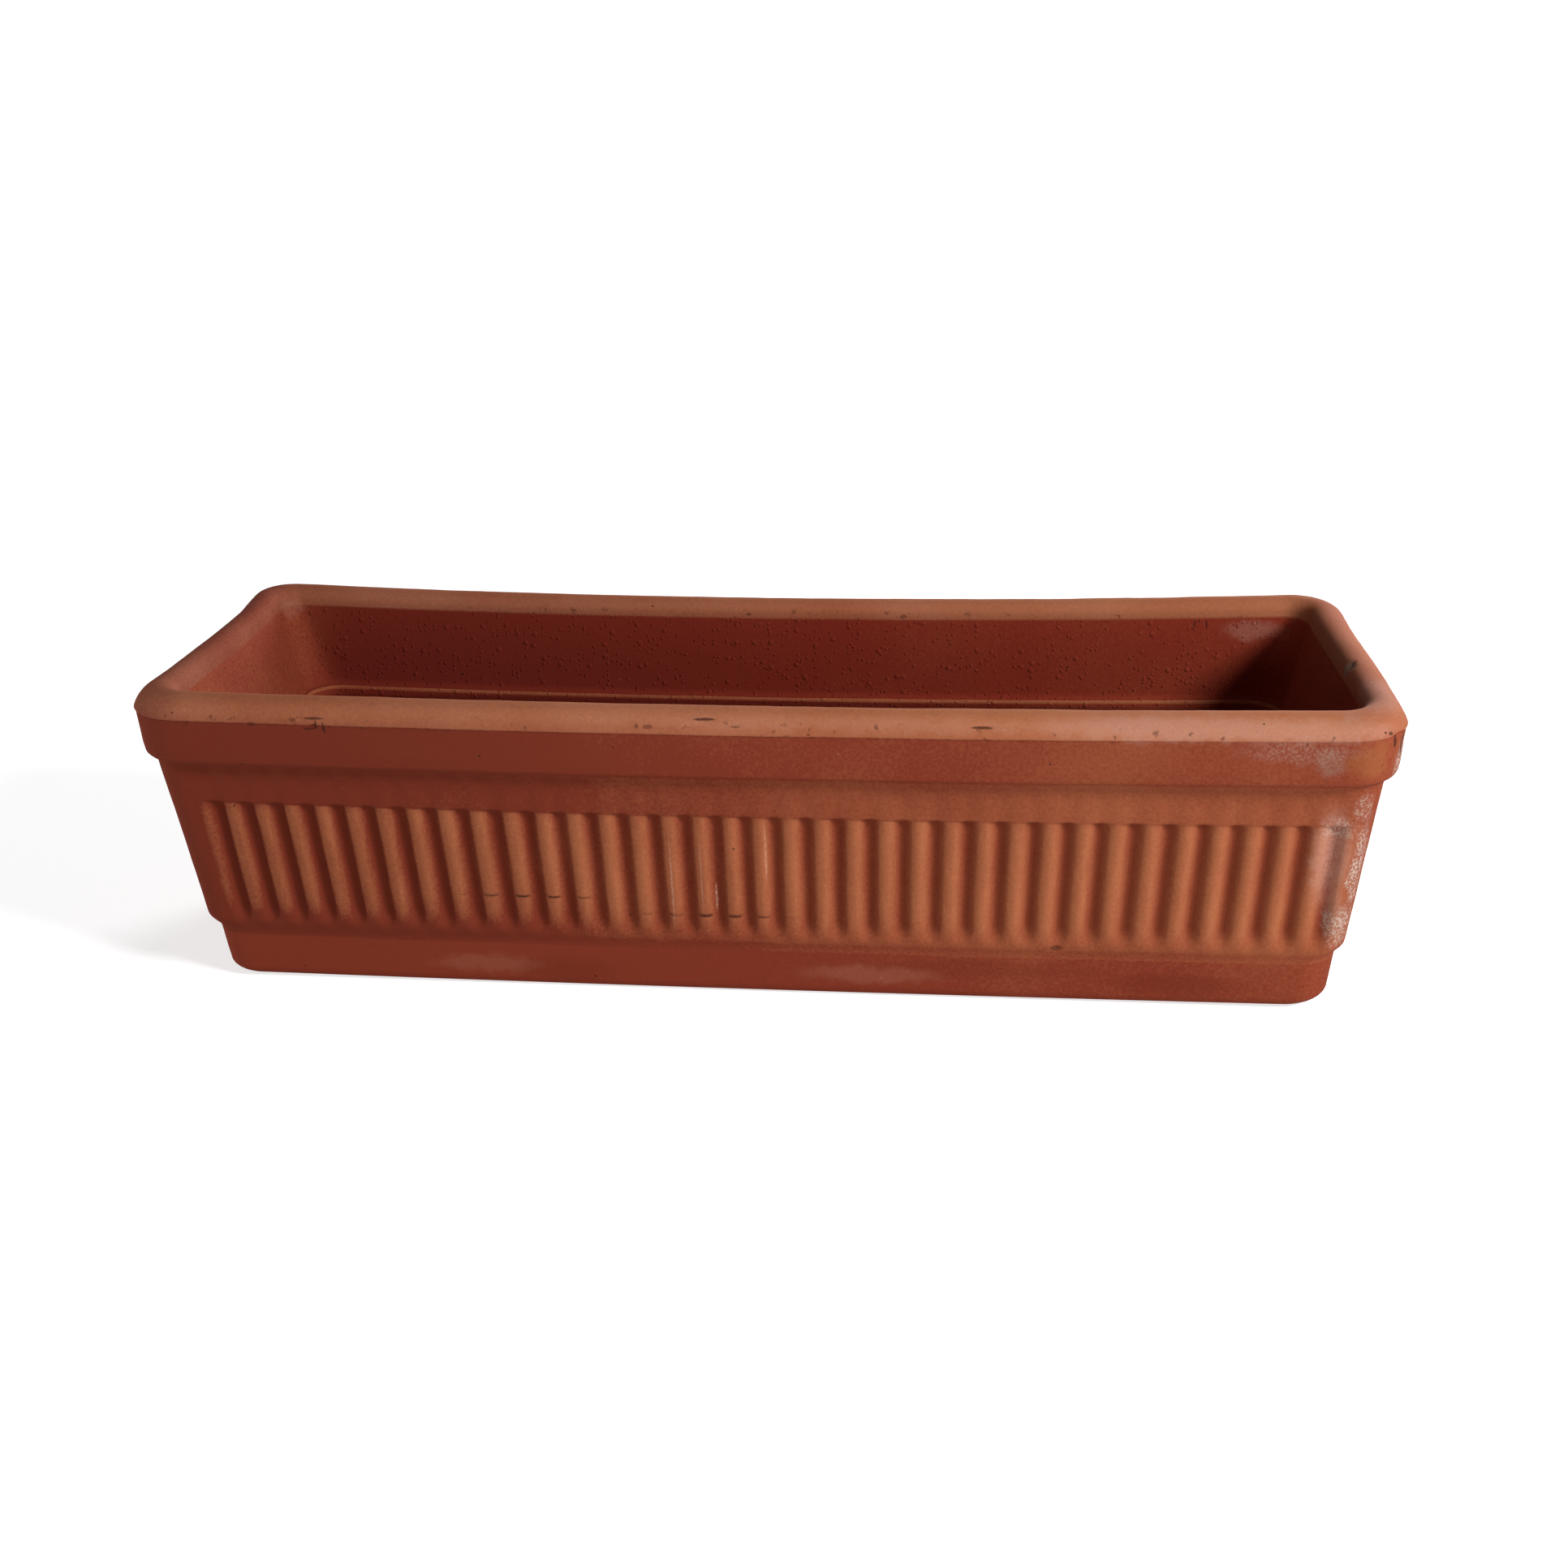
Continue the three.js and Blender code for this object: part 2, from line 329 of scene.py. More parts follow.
def maths(tree, operation, a, b=None, clamp=False):
    return addNode(tree, "ShaderNodeMath", {0: a, 1: b}, operation=operation, use_clamp=clamp).outputs[0]


def combined(tree, operation, values):
    result = values[0]
    for value in values[1:]:
        result = maths(tree, operation, result, value)
    return result


def product(tree, *values):
    return combined(tree, "MULTIPLY", values)


def total(tree, *values):
    return combined(tree, "ADD", values)


def highest(tree, *values):
    return combined(tree, "MAXIMUM", values)


def lack(tree, value):
    return maths(tree, "SUBTRACT", 1.0, value)


# Eases a value from one range to another.
def eased(tree, value, fromMin, fromMax, toMin=0.0, toMax=1.0, kind="SMOOTHSTEP"):
    ends = {"Value": value, "From Min": fromMin, "From Max": fromMax, "To Min": toMin, "To Max": toMax}
    return addNode(tree, "ShaderNodeMapRange", ends, interpolation_type=kind).outputs[0]


def vectorMaths(tree, operation, a, b):
    second = "Scale" if operation == "SCALE" else 1
    return addNode(tree, "ShaderNodeVectorMath", {0: a, second: b}, operation=operation).outputs[0]


def vectorLength(tree, a):
    return addNode(tree, "ShaderNodeVectorMath", {0: a}, operation="LENGTH").outputs["Value"]


def vector(tree, **sides):
    return addNode(tree, "ShaderNodeCombineXYZ", sides).outputs[0]


def splitPlace(tree, place):
    return addNode(tree, "ShaderNodeSeparateXYZ", {0: place}).outputs


# Geometry Nodes make the flutes, the drain holes, the bend from firing and the hand-pressed surface.
fluteSettings = {
    "Flute depth": 0.0037, "Flute sharpness": 1.2, "Flute top": levels["fluteTop"] * mm,
    "Comb fan": tanDeg(combFan),
    "Drain count": 3, "Drain spacing": 0.170, "Drain radius": 0.0090, "Drain flare": 0.0020,
    "Floor thickness": clayForm["floorThickness"] * mm,
    "Far rim rise": 0.0060, "Far rim dip": 0.0011, "Near rim rise": 0.0030, "Near rim dip": 0.0010,
    "Foot rise": 0.0014,
    "Far right pull": 0.0120, "Far left pull": 0.0070, "Near right pull": 0.0016, "Left end pinch": 0.0022,
    "Swell height": 0.0007, "Lump height": 0.0005, "Grain height": 0.00016, "Grain seed": 4.0,
}

# How far the maker's comb wandered along the front, in mm, at even steps from the left end to the right.
combWander = (0, -1.3, -1.4, 1.1, 0.7, -2.0, -1.5, -1.0, 0.8, 0)
wanderReach = 0.285  # m each way from the middle
wanderScale = 10  # mm for the full height of the curve

# The pulls of the bend: which way each draws the rim, and where across the depth (0 near, 1 far) and
# along the length (-1 left, 1 right) it starts and is full.
pulls = {
    "Far right pull": {"towards": -1.0, "across": ((0.05, 0.95),), "along": (0.1, 1.0)},
    "Far left pull": {"towards": 1.0, "across": ((-0.05, 0.8),), "along": (-0.1, -1.0)},
    "Near right pull": {"towards": -1.0, "across": ((0.7, 0.1),), "along": (0.5, 1.0)},
    "Left end pinch": {"towards": 1.0, "across": ((0.06, 0.25), (0.95, 0.7)), "along": (-0.8, -1.0)},
}

# How many waves each layer of the pressed surface has to the metre.
pressedLayers = {"Swell height": 16.0, "Lump height": 48.0, "Grain height": 230.0}
footStaysFlat = 0.006  # m above the ground where the pressed surface reaches its full height


def namedAttribute(tree, name, kind="FLOAT"):
    node = addNode(tree, "GeometryNodeInputNamedAttribute", {"Name": name}, data_type=kind)
    return node.outputs["Attribute"]


def storeNumber(tree, geometry, name, value):
    inputs = {"Geometry": geometry, "Name": name, "Value": value}
    return addNode(tree, "GeometryNodeStoreNamedAttribute", inputs, data_type="FLOAT", domain="POINT").outputs[0]


def moveBy(tree, geometry, offset):
    return addNode(tree, "GeometryNodeSetPosition", {"Geometry": geometry, "Offset": offset}).outputs[0]


def pointPlace(tree):
    return addNode(tree, "GeometryNodeInputPosition").outputs[0]


# One wave for each flute, fanning in towards the foot and running out into the base band.
def cutFlutes(tree, geometry, given):
    height = splitPlace(tree, pointPlace(tree))["Z"]
    along = maths(tree, "MULTIPLY", namedAttribute(tree, "along"), mm)
    count = namedAttribute(tree, "combCount")
    drop = maths(tree, "SUBTRACT", given["Flute top"], maths(tree, "MINIMUM", height, given["Flute top"]))
    half = maths(tree, "SUBTRACT", maths(tree, "MULTIPLY", namedAttribute(tree, "combHalf"), mm),
                 maths(tree, "MULTIPLY", drop, given["Comb fan"]))
    across = maths(tree, "ADD", maths(tree, "DIVIDE", along, half), 1.0)
    wave = maths(tree, "COSINE", product(tree, across, count, math.pi))
    wave = maths(tree, "MULTIPLY", lack(tree, wave), 0.5)
    wave = maths(tree, "POWER", wave, given["Flute sharpness"])
    inComb = maths(tree, "LESS_THAN", maths(tree, "ABSOLUTE", along), half)
    runOut = eased(tree, height, (clayForm["baseBandHeight"] + 1) * mm, (levels["crestEnd"] + 10) * mm)
    cut = product(tree, wave, inComb, namedAttribute(tree, "fluteShare"), runOut)
    geometry = storeNumber(tree, geometry, "fluteCut", cut)
    fade = eased(tree, maths(tree, "SUBTRACT", maths(tree, "ABSOLUTE", along), half), 0.007, -0.006)
    ribbing = product(tree, fade, namedAttribute(tree, "fluteShare"), runOut)
    geometry = storeNumber(tree, geometry, "ribbing", ribbing)
    depth = maths(tree, "MULTIPLY", cut, given["Flute depth"])
    inward = namedAttribute(tree, "inward", "FLOAT_VECTOR")
    return moveBy(tree, geometry, vectorMaths(tree, "SCALE", inward, depth))


# The front comb's flutes sit a little left or right of where a ruler would put them.
def wanderComb(tree, geometry):
    place = splitPlace(tree, pointPlace(tree))
    share = eased(tree, place["X"], -wanderReach, wanderReach, kind="LINEAR")
    curve = tree.nodes.new("ShaderNodeFloatCurve")
    points = curve.mapping.curves[0].points
    last = len(combWander) - 1
    for i, wander in enumerate(combWander):
        spot = (i / last, 0.5 + wander / wanderScale)
        if i in (0, last):
            points[0 if i == 0 else -1].location = spot
        else:
            points.new(*spot)
    curve.mapping.update()
    tree.links.new(share, curve.inputs["Value"])
    onFront = eased(tree, place["Y"], -0.06, -0.07)
    wander = product(tree, maths(tree, "SUBTRACT", curve.outputs[0], 0.5), wanderScale * mm, onFront)
    return moveBy(tree, geometry, vector(tree, X=wander))


# One tapered punch for each drain hole, in a line along the floor.
def punchDrains(tree, geometry, given):
    gaps = maths(tree, "SUBTRACT", given["Drain count"], 1.0)
    start = product(tree, gaps, given["Drain spacing"], -0.5)
    below = maths(tree, "MULTIPLY", given["Floor thickness"], -0.5)
    line = addNode(tree, "GeometryNodeMeshLine", {
        "Count": given["Drain count"], "Start Location": vector(tree, X=start, Z=below),
        "Offset": vector(tree, X=given["Drain spacing"])}).outputs[0]
    wide = maths(tree, "ADD", given["Drain radius"], maths(tree, "MULTIPLY", given["Drain flare"], 2.0))
    punch = addNode(tree, "GeometryNodeMeshCone", {
        "Vertices": 48, "Radius Bottom": given["Drain radius"], "Radius Top": wide,
        "Depth": maths(tree, "MULTIPLY", given["Floor thickness"], 2.0)}).outputs["Mesh"]
    punches = addNode(tree, "GeometryNodeInstanceOnPoints", {"Points": line, "Instance": punch}).outputs[0]
    punches = addNode(tree, "GeometryNodeRealizeInstances", {"Geometry": punches}).outputs[0]
    return addNode(tree, "GeometryNodeMeshBoolean", {"Mesh 1": geometry, "Mesh 2": punches},
                   operation="DIFFERENCE").outputs["Mesh"]


# The bend that firing left: both long rims dip in the middle and the far rim has drawn in at its ends.
def bendFromFiring(tree, geometry, given):
    place = splitPlace(tree, pointPlace(tree))
    reach = maths(tree, "DIVIDE", place["X"], clayForm["length"] / 2 * mm)
    far = eased(tree, place["Y"], -0.09, 0.09, kind="LINEAR")
    up = eased(tree, place["Z"], 0.0, clayForm["height"] * mm, kind="LINEAR")
    square = maths(tree, "MULTIPLY", reach, reach)
    rise = product(tree, given["Foot rise"], square, lack(tree, up))
    for side, share in (("Far", far), ("Near", lack(tree, far))):
        bow = maths(tree, "SUBTRACT", maths(tree, "MULTIPLY", given[side + " rim rise"], square),
                    given[side + " rim dip"])
        rise = total(tree, rise, product(tree, bow, share, up))
    drawn = 0.0
    for name, pull in pulls.items():
        shares = [eased(tree, far, *ends) for ends in pull["across"]] + [eased(tree, reach, *pull["along"])]
        drawn = total(tree, drawn, product(tree, given[name], pull["towards"], up, *shares))
    return moveBy(tree, geometry, vector(tree, X=drawn, Z=rise))


# A slow swell, lumps and a fine grain over the pressed clay, but for the foot it stands on.
def pressByHand(tree, geometry, given):
    place = pointPlace(tree)
    layers = []
    for height, scale in pressedLayers.items():
        inputs = {"Vector": place, "W": given["Grain seed"], "Scale": scale, "Detail": 2.0}
        waves = addNode(tree, "ShaderNodeTexNoise", inputs, noise_dimensions="4D").outputs[0]
        layers.append(maths(tree, "MULTIPLY", maths(tree, "SUBTRACT", waves, 0.5), given[height]))
    lift = product(tree, total(tree, *layers), eased(tree, splitPlace(tree, place)["Z"], 0.0, footStaysFlat))
    normal = addNode(tree, "GeometryNodeInputNormal").outputs[0]
    return moveBy(tree, geometry, vectorMaths(tree, "SCALE", normal, lift))


def fluteTree(material):
    tree = bpy.data.node_groups.new("flutedTrough", "GeometryNodeTree")
    tree.interface.new_socket("Geometry", in_out="INPUT", socket_type="NodeSocketGeometry")
    for name, value in fluteSettings.items():
        kind = "NodeSocketInt" if isinstance(value, int) else "NodeSocketFloat"
        tree.interface.new_socket(name, in_out="INPUT", socket_type=kind).default_value = value
    tree.interface.new_socket("Geometry", in_out="OUTPUT", socket_type="NodeSocketGeometry")
    given = tree.nodes.new("NodeGroupInput").outputs
    geometry = cutFlutes(tree, given["Geometry"], given)
    geometry = wanderComb(tree, geometry)
    geometry = punchDrains(tree, geometry, given)
    geometry = bendFromFiring(tree, geometry, given)
    geometry = pressByHand(tree, geometry, given)
    geometry = addNode(tree, "GeometryNodeRealizeInstances", {"Geometry": geometry}).outputs[0]
    clad = addNode(tree, "GeometryNodeSetMaterial", {"Geometry": geometry, "Material": material}).outputs[0]
    addNode(tree, "NodeGroupOutput", {"Geometry": clad})
    return tree


def shapedTrough(material):
    source = bpy.data.objects.new("plain_trough", plainTrough(clayForm))
    scene.collection.objects.link(source)
    modifier = source.modifiers.new("flutes", "NODES")
    modifier.node_group = fluteTree(material)
    for item in modifier.node_group.interface.items_tree:
        if item.item_type == "SOCKET" and item.in_out == "INPUT" and item.name in fluteSettings:
            modifier[item.identifier] = fluteSettings[item.name]
    graph = bpy.context.evaluated_depsgraph_get()
    shaped = source.evaluated_get(graph)
    mesh = bpy.data.meshes.new_from_object(shaped, preserve_all_data_layers=True, depsgraph=graph)
    source.modifiers.remove(modifier)
    bpy.data.objects.remove(source)
    for name in ("along", "combHalf", "combCount", "inward", "fluteShare"):
        mesh.attributes.remove(mesh.attributes[name])
    print("fluted trough:", len(mesh.vertices), "points,", len(mesh.polygons), "faces")
    return mesh


# Knocks, where clay is lost from an edge of the finished trough: place, size and depth in mm.
knocks = (
    ((294, -86, 148), (7, 8, 5), 1.6),
    ((299, -77, 141), (5, 6, 7), 1.3),
    ((288, -90, 153), (6, 4, 3), 0.9),
    ((295, -78, 141), (2.2, 2.2, 8), 1.0),
    ((297, -80, 126), (5, 8, 4), 1.2),
    ((278.5, -19, 158), (5, 5, 3.5), 1.4),
    ((-204, -94, 147), (3.2, 3, 3.2), 0.9),
    ((-198, -94, 143), (2, 3, 2.5), 0.8),
    ((-17, -91.5, 152), (6, 2.4, 1.4), 0.8),
    ((107, -92.7, 151), (6, 2.4, 1.2), 0.7),
    ((-297, -72, 147), (5, 6, 4), 1.0),
    ((144, -74, 32), (4, 3, 2.5), 0.9),
)


def knockEdges(mesh):
    count = len(mesh.vertices)
    places = np.empty(count * 3)
    mesh.vertices.foreach_get("co", places)
    places = places.reshape(count, 3)
    normals = np.empty(count * 3)
    mesh.vertices.foreach_get("normal", normals)
    normals = normals.reshape(count, 3)
    for place, size, depth in knocks:
        away = np.linalg.norm((places / mm - place) / size, axis=1)
        dent = np.clip(1 - away, 0, 1)
        places -= normals * (dent * dent * (3 - 2 * dent) * depth * mm)[:, None]
    mesh.vertices.foreach_set("co", places.ravel())
    mesh.update()


# The fired clay: deep red, paler where it is worn. Painted shade darkens it in the flutes, inside the trough
# (more so under the shelf) and towards the left end. Painted light pales the inner left end wall, the shelf's
# edge and the right end.
clayLook = {
    # The darker deep red for the left is painted shade towards the left end.
    "deep": (0.215, 0.036, 0.017), "shadedDeepLeft": (0.172, 0.029, 0.0145), "paleWornAndLit": (0.425, 0.142, 0.061),
    # The groove colour is painted shade in the flutes.
    "grooveShade": (0.160, 0.024, 0.0105), "paleSpeck": (0.55, 0.30, 0.20),
    # The two inside colours are painted shade over the inside of the trough, darker towards its left.
    "shadedInsideLeft": (0.170, 0.020, 0.0115), "shadedInsideRight": (0.220, 0.022, 0.0107),
    # This is painted shade on the inside wall just under the shelf.
    "shadeUnderShelf": (0.100, 0.011, 0.006),
    "roughness": (0.80, 0.94), "gloss": 0.07,
}

# How much each place adds to the paleness, from 0 for deep red clay to 1 for pale clay. The crests, the roll,
# the near roll, the rib field and the noises are wear. The inner left end wall is painted light, and the shelf's
# edge is a painted highlight. The share across the trough paints shade towards the left and light towards the
# right, and the base share makes the base band darker. Pairs go from left to right or, for the roll, from the
# long sides to the ends.
wearAndLightShares = {
    "crests": (0.66, 0.36), "roll": (0.66, 0.30), "nearRoll": 0.20, "litLeftEnd": 0.3, "shelfEdge": 0.5,
    "ribField": 0.2, "base": -0.16, "lightAcrossTrough": (-0.18, 0.20),
    "cloud": (-0.14, 0.15), "grain": (-0.14, 0.14), "streak": (-0.08, 0.08),
}

# How far each thing lifts the skin of the clay, as shares of the relief's depth.
relief = {
    "grain": 0.36, "grit": 1.3, "powder": 0.12, "pits": -1.2, "lime": 0.25,
    "depth": 0.0006,  # m
    "strength": 0.55,
}

noiseMiddle = (0.3, 0.7)  # the range that most of a noise's values lie in

# Colour of each kind of mark, whether its edge is wide or close, and how much powdery grain breaks it up.
# They are laid on in this order.
markKinds = {
    "damp": {"colour": (0.160, 0.026, 0.011), "edge": "wide", "grain": 0.15},
    "dusty": {"colour": (0.400, 0.165, 0.105), "edge": "wide", "grain": 0.15},
    "ochre": {"colour": (0.340, 0.130, 0.040), "edge": "wide", "grain": 0.2},
    "bloom": {"colour": (0.500, 0.265, 0.200), "edge": "wide", "grain": 0.35},
    "grey": {"colour": (0.300, 0.215, 0.165), "edge": "wide", "grain": 0.5},
    "lime": {"colour": (0.600, 0.470, 0.390), "edge": "wide", "grain": 0.85},
    "scratch": {"colour": (0.600, 0.330, 0.230), "edge": "close", "grain": 0.6},
    "pit": {"colour": (0.045, 0.014, 0.009), "edge": "close", "grain": 0.1},
}
raggedEdges = {"wide": 7, "close": 0.6}  # mm
markSoftness = {"wide": 0.55, "close": 0.35}  # share of a mark's size over which it fades
tearSoftness = 0.8

# The marks: kind, place and size in mm, strength.
marks = (
    ("bloom", (90, -95, 152), (190, 7, 4), 0.16),
    ("bloom", (215, -93, 152), (95, 12, 6), 0.50),
    ("bloom", (283, -60, 158), (14, 26, 6), 0.45),
    ("bloom", (243, 75, 145), (17, 9, 6), 0.28),
    ("bloom", (-270, 72, 151), (8, 8, 6), 0.16),
    ("bloom", (267, -81, 82), (10, 8, 34), 0.55),
    ("lime", (270, -83, 101), (9, 6, 8), 0.45),
    ("lime", (281, -78, 76), (4, 8, 32), 0.80),
    ("lime", (275, -73, 48), (8, 10, 13), 0.65),
    ("lime", (296, -77, 132), (7, 9, 13), 0.65),
    ("lime", (281, -84, 112), (5, 8, 9), 0.35),
    ("lime", (250, -94, 142), (30, 4, 6), 0.16),
    ("grey", (262, -93, 138), (8, 4, 8), 0.35),
    ("grey", (278, -19, 157), (5, 4.5, 4), 0.95),
    ("grey", (270, -86, 155), (12, 6, 3), 0.25),
    ("grey", (272, -76, 52), (7, 8, 12), 0.35),
    ("ochre", (280, -91, 138), (12, 6, 9), 0.35),
    ("dusty", (-137, -70.5, 13), (30, 6, 6), 0.2),
    ("dusty", (55, -70.5, 13), (36, 6, 6), 0.26),
    ("damp", (-96, -70.5, 11), (30, 8, 8), 0.5),
    ("damp", (201, -70.5, 13), (36, 8, 7), 0.6),
    ("damp", (110, -71, 18), (60, 8, 6), 0.35),
    ("pit", (-20, -91.2, 152.3), (5.5, 1.3, 0.65), 1.0),
    ("pit", (107, -92.3, 151), (5.5, 1.3, 0.6), 1.0),
    ("pit", (-204, -93.7, 150.2), (5, 2, 0.6), 0.9),
    ("pit", (-206.6, -94.1, 145.1), (3, 2, 0.7), 0.8),
    ("pit", (-203, -94.5, 147), (0.8, 2, 2.6), 0.9),
    ("pit", (-199.3, -94.3, 145.6), (0.8, 2, 3), 0.9),
    ("pit", (-234, -94.4, 147), (2.2, 2, 1.2), 0.6),
    ("pit", (-46, -93.6, 149), (2.4, 2, 1), 0.6),
    ("pit", (276.5, -20.5, 157.5), (2.2, 1.5, 3), 0.9),
    ("pit", (281, -17, 157.3), (1.4, 1.2, 3), 0.8),
    ("pit", (295, -78, 141), (1.5, 1.5, 7), 1.0),
    ("pit", (286.5, -87.6, 150), (2.6, 1.4, 1.2), 0.9),
    ("pit", (290.5, -84.8, 145.5), (1.6, 1.6, 3.5), 0.9),
    ("pit", (213, 75.5, 147), (0.7, 2, 2.6), 0.7),
    ("pit", (219, 75.5, 147), (0.7, 2, 2.6), 0.7),
    ("pit", (143, -73.5, 32), (3, 2, 1.6), 0.7),
    ("scratch", (-40.5, -77, 66), (0.6, 8, 30), 0.4),
    ("scratch", (-26, -77, 70), (0.5, 8, 26), 0.35),
    ("scratch", (-19.5, -75, 55), (0.6, 6, 8), 0.6),
    ("scratch", (5.5, -79, 82), (0.6, 8, 17), 0.45),
)

# Tears across the ribs, where the clay dragged in its mould: place, half length and half height in mm.
tears = (
    ((-21, -76, 45.3), (38, 9, 1.0)),
    ((-110, -77, 53.5), (38, 9, 0.8)),
)


def mixColour(tree, factor, a, b):
    node = addNode(tree, "ShaderNodeMix", data_type="RGBA")
    factorIn = next(s for s in node.inputs if s.name == "Factor" and s.type == "VALUE")
    colours = [s for s in node.inputs if s.type == "RGBA"]
    feed(tree, factorIn, factor)
    for socket, value in zip(colours, (a, b)):
        feed(tree, socket, value if isinstance(value, bpy.types.NodeSocket) else (*value, 1.0))
    return next(s for s in node.outputs if s.type == "RGBA")


def noise(tree, place, scale, detail=3.0, roughness=0.55):
    return addNode(tree, "ShaderNodeTexNoise", {"Vector": place, "Scale": scale, "Detail": detail,
                                                "Roughness": roughness}).outputs[0]


# Object coordinates pushed about by noise, so that the marks get ragged edges.
def raggedPlace(tree, place, amount):
    push = addNode(tree, "ShaderNodeTexNoise", {"Vector": place, "Scale": 0.7 / (amount * mm), "Detail": 3.0,
                                                "Roughness": 0.65}).outputs["Color"]
    push = vectorMaths(tree, "SUBTRACT", push, (0.5, 0.5, 0.5))
    return vectorMaths(tree, "ADD", place, vectorMaths(tree, "SCALE", push, amount * 1.6 * mm))


def patch(tree, place, centre, size, soft):
    away = vectorMaths(tree, "SUBTRACT", place, [c * mm for c in centre])
    away = vectorMaths(tree, "DIVIDE", away, [s * mm for s in size])
    return eased(tree, vectorLength(tree, away), 1.0 + soft * 0.4, 1.0 - soft)


def markMask(tree, ragged, kind, powder):
    edge, bite = markKinds[kind]["edge"], markKinds[kind]["grain"]
    patches = [maths(tree, "MULTIPLY", patch(tree, ragged[edge], centre, size, markSoftness[edge]), strength)
               for name, centre, size, strength in marks if name == kind]
    grained = eased(tree, powder, 0.5 - 0.12 * (1 - bite), 0.56, 1.0 - bite, 1.0)
    return maths(tree, "MULTIPLY", highest(tree, *patches), grained, clamp=True)


# Small round specks, one in some cells of a Voronoi pattern.
def specks(tree, place, scale, radius, share):
    cells = addNode(tree, "ShaderNodeTexVoronoi", {"Vector": place, "Scale": scale})
    chosen = maths(tree, "LESS_THAN", splitPlace(tree, cells.outputs["Color"])[0], share)
    return maths(tree, "MULTIPLY", eased(tree, cells.outputs["Distance"], radius, radius * 0.4), chosen)


# The textures and the ragged coordinates that the clay's colours share.
def clayTextures(tree, place):
    drawnDown = vectorMaths(tree, "MULTIPLY", place, (1.0, 1.0, 0.1))
    return {
        "grain": noise(tree, place, 620.0, 4.0, 0.6), "powder": noise(tree, place, 800.0, 3.0, 0.7),
        "cloud": noise(tree, place, 11.0), "streak": noise(tree, drawnDown, 260.0, 2.0),
        "ragged": {edge: raggedPlace(tree, place, amount) for edge, amount in raggedEdges.items()},
    }


# Where on the trough a point is, each as a share from 0 to 1.
def clayPlaces(tree, place):
    x, y, z = (splitPlace(tree, place)[i] for i in range(3))
    fluteCut, ribbing, section, edge = (
        addNode(tree, "ShaderNodeAttribute", attribute_name=name).outputs["Fac"]
        for name in ("fluteCut", "ribbing", "part", "shelfEdge"))
    rollEdge, shelf, fluteTop = (levels[name] * mm for name in ("rollEdge", "shelf", "fluteTop"))
    at = {"fluteCut": fluteCut, "ribbing": ribbing, "shelfEdge": eased(tree, edge, 0.88, 0.98)}
    at["inside"] = eased(tree, section, part["roll"] + 0.3, part["inside"])
    at["onRoll"] = product(tree, eased(tree, section, part["band"] + 0.2, part["roll"]),
                           lack(tree, at["inside"]), eased(tree, z, rollEdge, rollEdge + 0.006, 0.7, 1.0))
    at["rollFoot"] = product(tree, eased(tree, z, rollEdge - 0.003, rollEdge),
                             eased(tree, z, rollEdge + 0.006, rollEdge + 0.003), lack(tree, at["inside"]))
    at["onBase"] = eased(tree, section, part["flutes"] - 0.2, part["baseBand"] + 0.2)
    at["bareCrest"] = maths(tree, "SUBTRACT", ribbing, fluteCut)
    at["crest"] = product(tree, at["bareCrest"], eased(tree, ribbing, 0.0, 0.6),
                          eased(tree, z, clayForm["baseBandHeight"] * mm, 0.058, 0.35, 1.0),
                          eased(tree, z, fluteTop + 0.002, fluteTop - 0.007, 0.7, 1.0))
    at["ribField"] = product(tree, eased(tree, ribbing, 0.0, 0.15), eased(tree, x, -0.25, 0.0))
    at["rightward"] = eased(tree, x, -0.28, 0.25)
    at["endRim"] = eased(tree, maths(tree, "ABSOLUTE", x), 0.262, 0.284)
    at["nearRim"] = eased(tree, y, -0.06, -0.075)
    # Painted light on the inner left end wall, which faces the light from the right.
    at["litLeftEnd"] = product(tree, at["inside"], eased(tree, x, -0.235, -0.272))
    # Painted shade on the inside wall just under the shelf.
    at["shadeUnderShelf"] = product(tree, at["inside"], eased(tree, z, shelf - 0.0008, shelf - 0.004))
    # Painted shade over the whole inside except its left end wall and the shelf's edge.
    at["soot"] = product(tree, at["inside"], eased(tree, x, -0.272, -0.235, 0.0, 0.9),
                         lack(tree, at["shelfEdge"]))
    return at


# How pale the clay is, from wear and painted light. Wear is greatest on the rib crests and the rolled rim and
# least in the grooves. Painted light pales the inner left end wall, the shelf's edge and the right end, and
# painted shade keeps the inside and the left end darker.
def clayWearAndLight(tree, at, textures):
    crests = product(tree, eased(tree, at["crest"], 0.05, 1.0),
                     eased(tree, at["rightward"], 0.0, 1.0, *wearAndLightShares["crests"]))
    roll = total(tree, eased(tree, at["endRim"], 0.0, 1.0, *wearAndLightShares["roll"]),
                 product(tree, at["nearRim"], wearAndLightShares["nearRoll"]))
    layers = [crests, product(tree, at["onRoll"], roll),
              # Painted light: the inner left end wall is made paler.
              product(tree, at["litLeftEnd"], wearAndLightShares["litLeftEnd"]),
              # Painted highlight: the shelf's edge is made paler where it catches the light.
              product(tree, at["shelfEdge"], wearAndLightShares["shelfEdge"]),
              product(tree, at["ribField"], wearAndLightShares["ribField"]),
              product(tree, at["onBase"], wearAndLightShares["base"])]
    layers += [eased(tree, textures[name], *noiseMiddle, *wearAndLightShares[name], "LINEAR")
               for name in ("cloud", "grain")]
    streak = eased(tree, textures["streak"], *noiseMiddle, *wearAndLightShares["streak"], "LINEAR")
    layers.append(product(tree, streak, at["ribbing"]))
    # Painted shade towards the left and painted light towards the right.
    across = eased(tree, at["rightward"], 0.0, 1.0, *wearAndLightShares["lightAcrossTrough"], "LINEAR")
    wearAndLight = maths(tree, "ADD", total(tree, *layers), across, clamp=True)
    # Painted shade: the inside, except its left end wall, is kept less pale.
    return maths(tree, "MULTIPLY", wearAndLight, lack(tree, product(tree, at["soot"], 0.6)))


